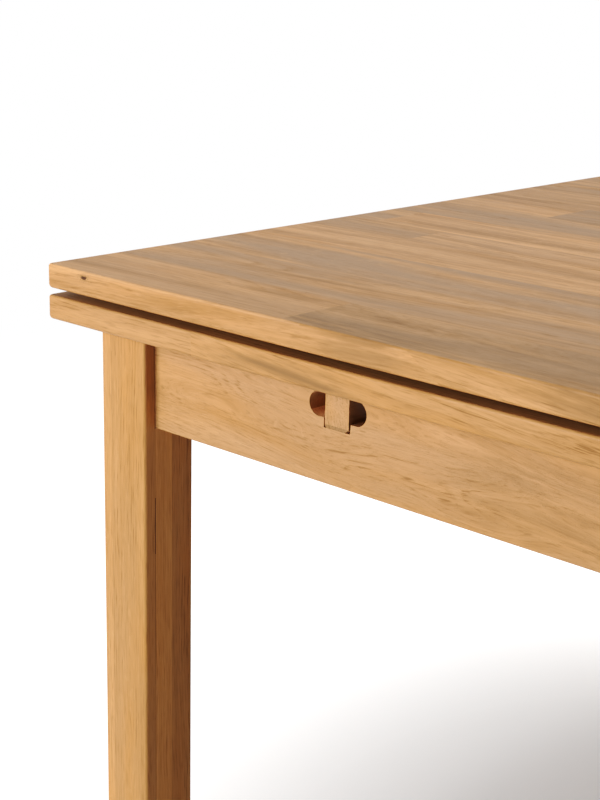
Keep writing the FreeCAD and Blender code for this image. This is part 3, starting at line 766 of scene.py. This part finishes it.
# Zinc has a spangle and moulded nylon a fine grain
def speckledMaterial(name, look):
    material, tree = emptyMaterial(name)
    speckle = evenNoise(tree, plainPlace(tree), look["scale"], look["detail"])
    colour = mixColour(tree, speckle, look["dark"], look["pale"])
    roughness = unevenGloss(tree, speckle, look["roughness"])
    surface = {"Base Color": colour, "Roughness": roughness, "Metallic": look["metallic"]}
    closeMaterial(tree, surface, speckle, look["relief"])
    return material


beech, felt = beechMaterial(), feltMaterial()
zinc, nylon = speckledMaterial("zincPlate", zincLook), speckledMaterial("mouldedGlide", glideLook)
print("finishes of the small parts ready")


# Small parts are turned afresh on the axes of their nodes' own solids
def islandsOf(bm):
    left = set(bm.verts)
    groups = []
    while left:
        waiting = [left.pop()]
        group = []
        while waiting:
            vert = waiting.pop()
            group.append(vert)
            beside = [e.other_vert(vert) for e in vert.link_edges if e.other_vert(vert) in left]
            left.difference_update(beside)
            waiting.extend(beside)
        groups.append(group)
    return groups


def inwardFacing(face):
    return -face.normal.dot(face.calc_center_median())


# The middle of each solid's chosen end, the way it faces and the length behind it
def endsOf(nodeName, choice):
    bm = copyOfNode(nodeName)
    joinFlats(bm)
    fewer = 6    # a round end has almost as many corners as the largest face
    ends = []
    for group in islandsOf(bm):
        faces = {f for v in group for f in v.link_faces}
        largest = max(len(f.verts) for f in faces)
        face = max((f for f in faces if len(f.verts) > largest - fewer), key=choice)
        axis = face.normal.copy()
        corners = [[v.co[i] for v in group] for i in range(3)]
        middle = Vector([(min(c) + max(c)) / 2 for c in corners])
        reach = [(v.co - middle).dot(axis) for v in group]
        ends.append((middle + axis * max(reach), axis, max(reach) - min(reach)))
    bm.free()
    return sorted(ends, key=lambda e: tuple(round(c, 5) for c in e[0]))


def onAxis(point, axis, turn=0.0):
    facing = axis.to_track_quat("Z", "X").to_matrix().to_4x4()
    return Matrix.Translation(point) @ facing @ Matrix.Rotation(turn, 4, "Z")


# Rings of (radius, height) in millimetres, bridged in order; either may change with the angle
def turnRings(bm, rings, segments, hollow=False):
    loops, verts = [], []
    for radius, height in rings:
        made = bmesh.ops.create_circle(bm, segments=segments, radius=1.0)["verts"]
        for vert in made:
            angle = math.atan2(vert.co.y, vert.co.x)
            r = radius(angle) if callable(radius) else radius
            z = height(angle) if callable(height) else height
            vert.co = Vector((r * math.cos(angle), r * math.sin(angle), z)) * mm
        loops.append(list({e for v in made for e in v.link_edges}))
        verts.extend(made)
    for first, second in zip(loops, loops[1:] + loops[:1] if hollow else loops[1:]):
        bmesh.ops.bridge_loops(bm, edges=first + second)
    if not hollow:
        bmesh.ops.edgeloop_fill(bm, edges=loops[0])
        bmesh.ops.edgeloop_fill(bm, edges=loops[-1])
    return verts


screwShape = {"headRadius": 4.5, "rim": 0.3, "headHeight": 2.8, "shankRadius": 2.25, "tip": 4.5,
              "tipRadius": 0.25, "armLength": 2.7, "armHalf": 0.62, "recess": 1.9, "recessFoot": 0.4,
              "sides": 48}


# Outline of the cross recess in a screw's head
def crossRadius(angle, scale=1.0):
    least = 1e-6    # keeps the divisions below from nought
    side, rise = max(abs(math.cos(angle)), least), max(abs(math.sin(angle)), least)
    arm, half = screwShape["armLength"], screwShape["armHalf"]
    return scale * max(min(arm / side, half / rise), min(arm / rise, half / side))


def screwSet(nodeName):
    s = screwShape
    bm = bmesh.new()
    for point, axis, length in endsOf(nodeName, lambda face: face.calc_area()):
        reach = length / mm
        rings = [(lambda a: crossRadius(a, s["recessFoot"]), -s["recess"]), (crossRadius, 0.0),
                 (s["headRadius"] - s["rim"], 0.0), (s["headRadius"], -s["rim"]),
                 (s["shankRadius"], -s["headHeight"]), (s["shankRadius"], s["tip"] - reach),
                 (s["tipRadius"], -reach)]
        verts = turnRings(bm, rings, s["sides"])
        bmesh.ops.transform(bm, matrix=onAxis(point, axis, dice.uniform(0, math.pi)), verts=verts)
    return bm


# The half width of the thread's ridge is a share of the pitch
boltShape = {"radius": 4.0, "core": 3.35, "pitch": 1.25, "threaded": 21.0, "chamfer": 0.8, "steps": 18,
             "sunk": 0.1, "ridgeHalf": 0.46, "sides": 36}


# A solid ridge that climbs the bolt's core as a helix
def threadRidge(bm, low, turns):
    b = boltShape
    foot = b["core"] - b["sunk"]
    section = ((foot, -b["ridgeHalf"]), (b["radius"], 0.0), (foot, b["ridgeHalf"]))
    corners = [bm.verts.new((r * mm, 0.0, (low + z * b["pitch"]) * mm)) for r, z in section]
    edges = [bm.edges.new((corners[i], corners[(i + 1) % 3])) for i in range(3)]
    before = set(bm.verts)
    bmesh.ops.spin(bm, geom=corners + edges, cent=(0, 0, 0), axis=(0, 0, 1), angle=math.tau * turns,
                   dvec=(0, 0, b["pitch"] / b["steps"] * mm), steps=turns * b["steps"], use_merge=False)
    made = corners + [v for v in bm.verts if v not in before]
    openEdges = [e for e in {e for v in made for e in v.link_edges} if e.is_boundary]
    bmesh.ops.holes_fill(bm, edges=openEdges, sides=3)
    return made


def boltSet(nodeName):
    b = boltShape
    bm = bmesh.new()
    for point, axis, length in endsOf(nodeName, inwardFacing):
        rings = [(b["core"] - b["chamfer"], 0.0), (b["core"], -b["chamfer"]), (b["core"], -b["threaded"]),
                 (b["radius"], -b["threaded"] - b["chamfer"]), (b["radius"], b["chamfer"] - length / mm),
                 (b["radius"] - b["chamfer"], -length / mm)]
        verts = turnRings(bm, rings, b["sides"])
        turns = int(b["threaded"] / b["pitch"]) - 1
        verts += threadRidge(bm, -b["threaded"], turns)
        bmesh.ops.transform(bm, matrix=onAxis(point, axis), verts=verts)
    return bm


# Nuts and washers: rings that close on themselves round a bore
def hollowSet(nodeName, rings, sides):
    bm = bmesh.new()
    for point, axis, _ in endsOf(nodeName, inwardFacing):
        verts = turnRings(bm, rings, sides, hollow=True)
        bmesh.ops.transform(bm, matrix=onAxis(point, axis), verts=verts)
    return bm


nutShape = {"flatHalf": 6.5, "height": 6.5, "bore": 4.05, "mouth": 4.55, "faceShare": 0.95, "slope": 30.0,
            "sides": 48}


def hexRadius(angle):
    return nutShape["flatHalf"] / math.cos((angle + math.pi / 6) % (math.pi / 3) - math.pi / 6)


# The rounded chamfer that turning leaves on a nut's corners
def cornerDrop(angle):
    past = hexRadius(angle) - nutShape["faceShare"] * nutShape["flatHalf"]
    return past * math.tan(math.radians(nutShape["slope"]))


def nutSet(nodeName):
    n = nutShape
    face, base, slant = n["faceShare"] * n["flatHalf"], -n["height"], n["mouth"] - n["bore"]
    rings = [(n["mouth"], 0.0), (face, 0.0), (hexRadius, lambda a: -cornerDrop(a)),
             (hexRadius, lambda a: base + cornerDrop(a)), (face, base), (n["mouth"], base),
             (n["bore"], base + slant), (n["bore"], -slant)]
    return hollowSet(nodeName, rings, n["sides"])


washerShape = {"radius": 9.0, "bore": 4.05, "thickness": 1.6, "edge": 0.25, "sides": 40}


def washerSet(nodeName):
    w = washerShape
    outer, inner, base = w["radius"] - w["edge"], w["bore"] + w["edge"], -w["thickness"]
    rings = [(inner, 0.0), (outer, 0.0), (w["radius"], -w["edge"]), (w["radius"], base + w["edge"]),
             (outer, base), (inner, base), (w["bore"], base + w["edge"]), (w["bore"], -w["edge"])]
    return hollowSet(nodeName, rings, w["sides"])


# A glide: a dished disc round the head of its own pin, which goes up into the leg
glideShape = {
    "rings": [(2.6, 0.45), (3.4, 0.55), (3.7, 0.95), (5.2, 0.95), (5.6, 0.0), (12.8, 0.0), (13.65, 0.35),
              (14.0, 1.2), (14.0, 2.8), (13.65, 3.65), (12.8, 4.0), (2.5, 4.0), (2.5, 21.0), (1.5, 22.0)],
    "sides": 40}


def glideSet(nodeName):
    bm = bmesh.new()
    for point, _, _ in endsOf(nodeName, lambda face: -face.normal.z):
        verts = turnRings(bm, glideShape["rings"], glideShape["sides"])
        bmesh.ops.translate(bm, vec=Vector((point.x, point.y, 0.0)), verts=verts)
    return bm


# A strip of pressed felt: soft rounded edges and a slightly uneven face, kept inside its node's box
feltStrip = {"round": 0.7, "lengthCuts": 150, "widthCuts": 5, "unevenness": 0.12, "edgeWander": 0.25,
             "edgeBand": 0.1}


def feltPiece(nodeName):
    low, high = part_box(nodeName)
    middle = (low + high) / 2
    bm = bmesh.new()
    bmesh.ops.create_cube(bm, size=1.0)
    bmesh.ops.scale(bm, vec=high - low, verts=bm.verts[:])
    bmesh.ops.translate(bm, vec=middle, verts=bm.verts[:])
    for axis, cuts in ((0, feltStrip["lengthCuts"]), (1, feltStrip["widthCuts"])):
        half = (high - low)[axis] / 2
        long = [e for e in bm.edges if abs(e.verts[0].co[axis] - e.verts[1].co[axis]) > half]
        bmesh.ops.subdivide_edges(bm, edges=long, cuts=cuts, use_grid_fill=True)
    roundEdges(bm, sharpEdges(bm), feltStrip["round"] * mm, segments=3)
    for vert in bm.verts:
        inward = feltStrip["edgeWander"] * mm * dice.random()
        if min(vert.co.y - low.y, high.y - vert.co.y) < feltStrip["edgeBand"] * mm:
            vert.co.y += math.copysign(inward, middle.y - vert.co.y)
        if vert.co.z > middle.z:
            vert.co.z -= feltStrip["unevenness"] * mm * dice.random()
    return bm


smallSets = (
    ("zinc_steel", zinc, screwSet, (
        "bearer_screws", "corner_block_screws", "runner_screws_front", "runner_screws_back")),
    ("zinc_steel", zinc, boltSet, ("hanger_bolts",)),
    ("zinc_steel", zinc, washerSet, ("hanger_washers",)),
    ("zinc_steel", zinc, nutSet, ("hanger_nuts",)),
    ("glide", nylon, glideSet, ("leg_glides",)),
    ("beech_peg", beech, copyOfNode, ("locating_dowels", "stop_pegs_front", "stop_pegs_back")),
    ("felt", felt, feltPiece, ("felt_strip_front", "felt_strip_back")),
)
for slotName, material, make, nodeNames in smallSets:
    for nodeName in nodeNames:
        bm = make(nodeName)
        bmesh.ops.recalc_face_normals(bm, faces=bm.faces[:])
        piece = finishPiece(bm, pieceName(nodeName) + "Set", nodeName, material)
        if slotName == "felt":
            low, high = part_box(nodeName)
print("small parts finished")

# Floor, light and camera
studio = {
    "floorRadius": 9.0, "floorSides": 96, "floorWhite": 0.86, "blotchDepth": 0.02, "blotchScale": 1.5,
    "floorGlow": 0.62, "glowReach": (0.3, 1.1), "plainReach": (1.7, 3.0),
    "backdropWay": (-0.66, 0.74, 0.12), "backdropLimits": (-0.1, 0.85), "backdrop": 0.72, "surround": 0.13,
    "keyPlace": (-1.25, -3.4, 1.38), "keyAim": (-0.1, -0.5, 0.65), "keySize": (2.0, 1.3), "keyPower": 102.0,
    "overPlace": (-0.3, 0.3, 3.4), "overAim": (0.0, 0.2, 0.0), "overSize": (3.0, 3.0), "overPower": 54.0,
}


def floorPiece():
    material, tree = emptyMaterial("paleFloor")
    place = plainPlace(tree)
    distance = vectorCalc(tree, "LENGTH", place)
    blotch = evenNoise(tree, place, studio["blotchScale"], 3.0)
    white = studio["floorWhite"]
    dull = white - studio["blotchDepth"]
    colour = mixColour(tree, blotch, (white, white, white), (dull, dull, dull))
    lit = addNode(tree, "ShaderNodeBsdfDiffuse", {"Color": colour}).outputs[0]
    glowing = remap(tree, distance, *studio["glowReach"], 0.0, studio["floorGlow"])
    seen = addNode(tree, "ShaderNodeLightPath").outputs["Is Camera Ray"]
    glow = addNode(tree, "ShaderNodeEmission", {"Strength": calc(tree, "MULTIPLY", glowing, seen)}).outputs[0]
    near = addNode(tree, "ShaderNodeAddShader", {0: lit, 1: glow}).outputs[0]
    far = addNode(tree, "ShaderNodeEmission", {"Strength": 1.0}).outputs[0]
    fade = maskOf(tree, distance, studio["plainReach"])
    both = addNode(tree, "ShaderNodeMixShader", {0: fade, 1: near, 2: far}).outputs[0]
    addNode(tree, "ShaderNodeOutputMaterial", {"Surface": both})
    bm = bmesh.new()
    bmesh.ops.create_circle(bm, cap_ends=True, segments=studio["floorSides"], radius=studio["floorRadius"])
    floor = meshObject(bm, "paleFloor", material)


def areaLight(name, place, aim, size, power):
    data = bpy.data.lights.new(name, "AREA")
    data.shape = "RECTANGLE"
    data.size, data.size_y = size
    data.energy = power
    light = bpy.data.objects.new(name, data)
    scene.collection.objects.link(light)
    light.location = place
    light.rotation_mode = "QUATERNION"
    light.rotation_quaternion = (Vector(aim) - Vector(place)).to_track_quat("-Z", "Y")
    light.visible_camera = False


def paleWorld():
    world = bpy.data.worlds.new("paleStudio")
    scene.world = world
    world.use_nodes = True
    tree = world.node_tree
    tree.nodes.clear()
    way = addNode(tree, "ShaderNodeTexCoord").outputs["Generated"]
    facing = vectorCalc(tree, "DOT_PRODUCT", way, Vector(studio["backdropWay"]).normalized())
    strength = remap(tree, facing, *studio["backdropLimits"], studio["surround"], studio["backdrop"])
    seen = addNode(tree, "ShaderNodeLightPath").outputs["Is Camera Ray"]
    strength = addNode(tree, "ShaderNodeMix", {0: seen, 2: strength, 3: 1.0}).outputs[0]
    shader = addNode(tree, "ShaderNodeBackground", {"Strength": strength, "Color": (1, 1, 1, 1)})
    addNode(tree, "ShaderNodeOutputWorld", {"Surface": shader.outputs[0]})


floorPiece()
paleWorld()
for name in ("key", "over"):
    areaLight(name + "Light", *(studio[name + what] for what in ("Place", "Aim", "Size", "Power")))

# The photo's camera, with its focal length in pixels of the picture
view = {"place": (0.6271, -1.4310, 1.0188), "yaw": 42.788, "pitch": 16.164, "roll": -1.373,
        "focal": 1548.3, "frameHeight": 800, "sensor": 36.0}


def setCamera():
    yaw, pitch, roll = (math.radians(view[key]) for key in ("yaw", "pitch", "roll"))
    forward = Vector((-math.sin(yaw) * math.cos(pitch), math.cos(yaw) * math.cos(pitch), -math.sin(pitch)))
    level = Vector((math.cos(yaw), math.sin(yaw), 0))
    down = forward.cross(level)
    right = level * math.cos(roll) + down * math.sin(roll)
    lower = down * math.cos(roll) - level * math.sin(roll)
    data = bpy.data.cameras.new("photoCamera")
    data.sensor_width = view["sensor"]
    data.lens = view["focal"] / view["frameHeight"] * view["sensor"]
    camera = bpy.data.objects.new("photoCamera", data)
    scene.collection.objects.link(camera)
    turn = Matrix((right, -lower, -forward)).transposed().to_4x4()
    camera.matrix_world = Matrix.Translation(view["place"]) @ turn
    scene.camera = camera


setCamera()
# A little contrast: the fourth curve acts on all colours together
contrast = {"curve": 3, "points": ((0.05, 0.026), (0.12, 0.096), (0.20, 0.203), (0.42, 0.446), (0.72, 0.742))}
scene.view_settings.view_transform = "Standard"
scene.view_settings.look = "None"
scene.view_settings.use_curve_mapping = True
toneCurve = scene.view_settings.curve_mapping
for x, y in contrast["points"]:
    toneCurve.curves[contrast["curve"]].points.new(x, y)
toneCurve.update()
print("studio set")
